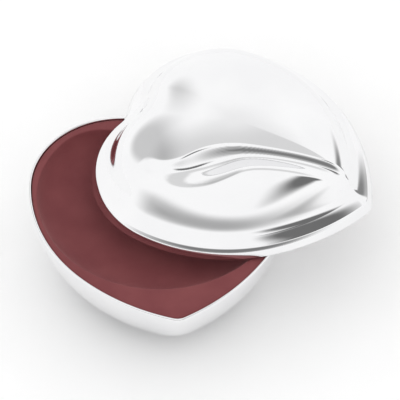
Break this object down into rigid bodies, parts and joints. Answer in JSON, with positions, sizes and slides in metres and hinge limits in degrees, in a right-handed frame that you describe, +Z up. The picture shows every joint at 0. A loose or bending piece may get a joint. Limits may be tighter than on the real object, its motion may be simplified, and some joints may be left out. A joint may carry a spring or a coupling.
{
  "type": "music box",
  "caption": "Heart-shaped polished steel wind-up music box whose domed lid swivels aside on one pin over a burgundy tray, with a comb and cylinder movement and key below.",
  "frame": {"origin": "centre of the foot ring, on the surface that the box stands on", "axes": "+Z up; the heart's tip points to -Y and its notch to +Y; +X is to the right seen from the tip"},
  "size_m": [0.1644, 0.1647, 0.076],
  "materials": {
    "polished_steel": "mirror-polished stainless steel",
    "burgundy_lining": "matte burgundy flocking",
    "black_rubber": "matt",
    "plain_steel": "brushed",
    "spring_steel": "blued",
    "brass": "satin",
    "cast_zinc": "as cast, standing in for zinc",
    "white_nylon": "moulded"
  },
  "bodies": {
    "box": {"base_shell": "polished_steel", "liner": "burgundy_lining", "foot_ring": "black_rubber", "bottom_plate": "plain_steel", "bottom_plate_screws": "plain_steel", "movement_screws": "plain_steel", "pivot_bracket": "plain_steel", "pivot_bush": "brass", "thrust_washer": "white_nylon", "stop_lever_pin": "plain_steel", "stop_lever_clip": "spring_steel", "bedplate": "cast_zinc", "barrel_bridge": "plain_steel", "barrel_bridge_screws": "plain_steel", "click_screw": "plain_steel", "comb": "spring_steel", "comb_screws": "plain_steel", "governor_frame": "cast_zinc", "governor_screws": "plain_steel", "worm_cap": "brass"},
    "lid": {"lid_shell": "polished_steel", "lid_boss": "plain_steel", "lid_stud": "plain_steel", "wave_washer": "spring_steel", "lock_nut": "plain_steel", "stop_cam": "brass"},
    "stop_lever": {"stop_lever": "plain_steel"},
    "winding": {"winding_arbor": "plain_steel", "winding_key": "brass", "ratchet_wheel": "plain_steel"},
    "click": {"click": "spring_steel"},
    "barrel": {"spring_barrel": "brass", "barrel_cover": "brass", "mainspring": "spring_steel"},
    "cylinder": {"cylinder": "brass", "cylinder_shaft": "plain_steel", "cylinder_gear": "brass", "cylinder_pinion": "brass", "cylinder_pins": "plain_steel"},
    "governor_wheel": {"governor_shaft": "plain_steel", "governor_pinion": "plain_steel", "worm_wheel": "white_nylon"},
    "fly": {"worm": "plain_steel", "fly": "white_nylon"}
  },
  "joints": [
    {"name": "lid_swivel", "type": "hinge", "parent": "box", "child": "lid", "pos_m": [-0.0035, 0.0466, 0.035], "axis": [0, 0, 1], "range_deg": [-57.5, 60]},
    {"name": "stop_lever_pivot", "type": "hinge", "parent": "box", "child": "stop_lever", "pos_m": [0.007, 0.0475, 0.0266], "axis": [0, 0, 1], "range_deg": [-4.2, 4.4]},
    {"name": "key_winding", "type": "hinge", "parent": "box", "child": "winding", "pos_m": [-0.013, 0, 0.0042], "axis": [0, 0, 1], "continuous": true},
    {"name": "click_pivot", "type": "hinge", "parent": "box", "child": "click", "pos_m": [-0.0048, 0.0044, 0.0103], "axis": [0, 0, 1], "range_deg": [-12, 0], "stiffness_Nm_per_rad": 0.0005, "springref_deg": 5.73},
    {"name": "barrel_spin", "type": "hinge", "parent": "box", "child": "barrel", "pos_m": [-0.013, 0, 0.019], "axis": [0, 0, 1], "continuous": true},
    {"name": "cylinder_spin", "type": "hinge", "parent": "box", "child": "cylinder", "pos_m": [0.012, 0, 0.0214], "axis": [1, 0, 0], "continuous": true},
    {"name": "governor_spin", "type": "hinge", "parent": "box", "child": "governor_wheel", "pos_m": [0.0263, 0.008, 0.0214], "axis": [1, 0, 0], "continuous": true},
    {"name": "fly_spin", "type": "hinge", "parent": "box", "child": "fly", "pos_m": [0.0263, 0.0144, 0.02], "axis": [0, 0, 1], "continuous": true}
  ],
  "couplings": [
    {"joint": "stop_lever_pivot", "follows": "lid_swivel", "ratio": 0.07},
    {"joint": "barrel_spin", "follows": "cylinder_spin", "ratio": 0.28571},
    {"joint": "governor_spin", "follows": "cylinder_spin", "ratio": -3},
    {"joint": "fly_spin", "follows": "cylinder_spin", "ratio": 60}
  ]
}
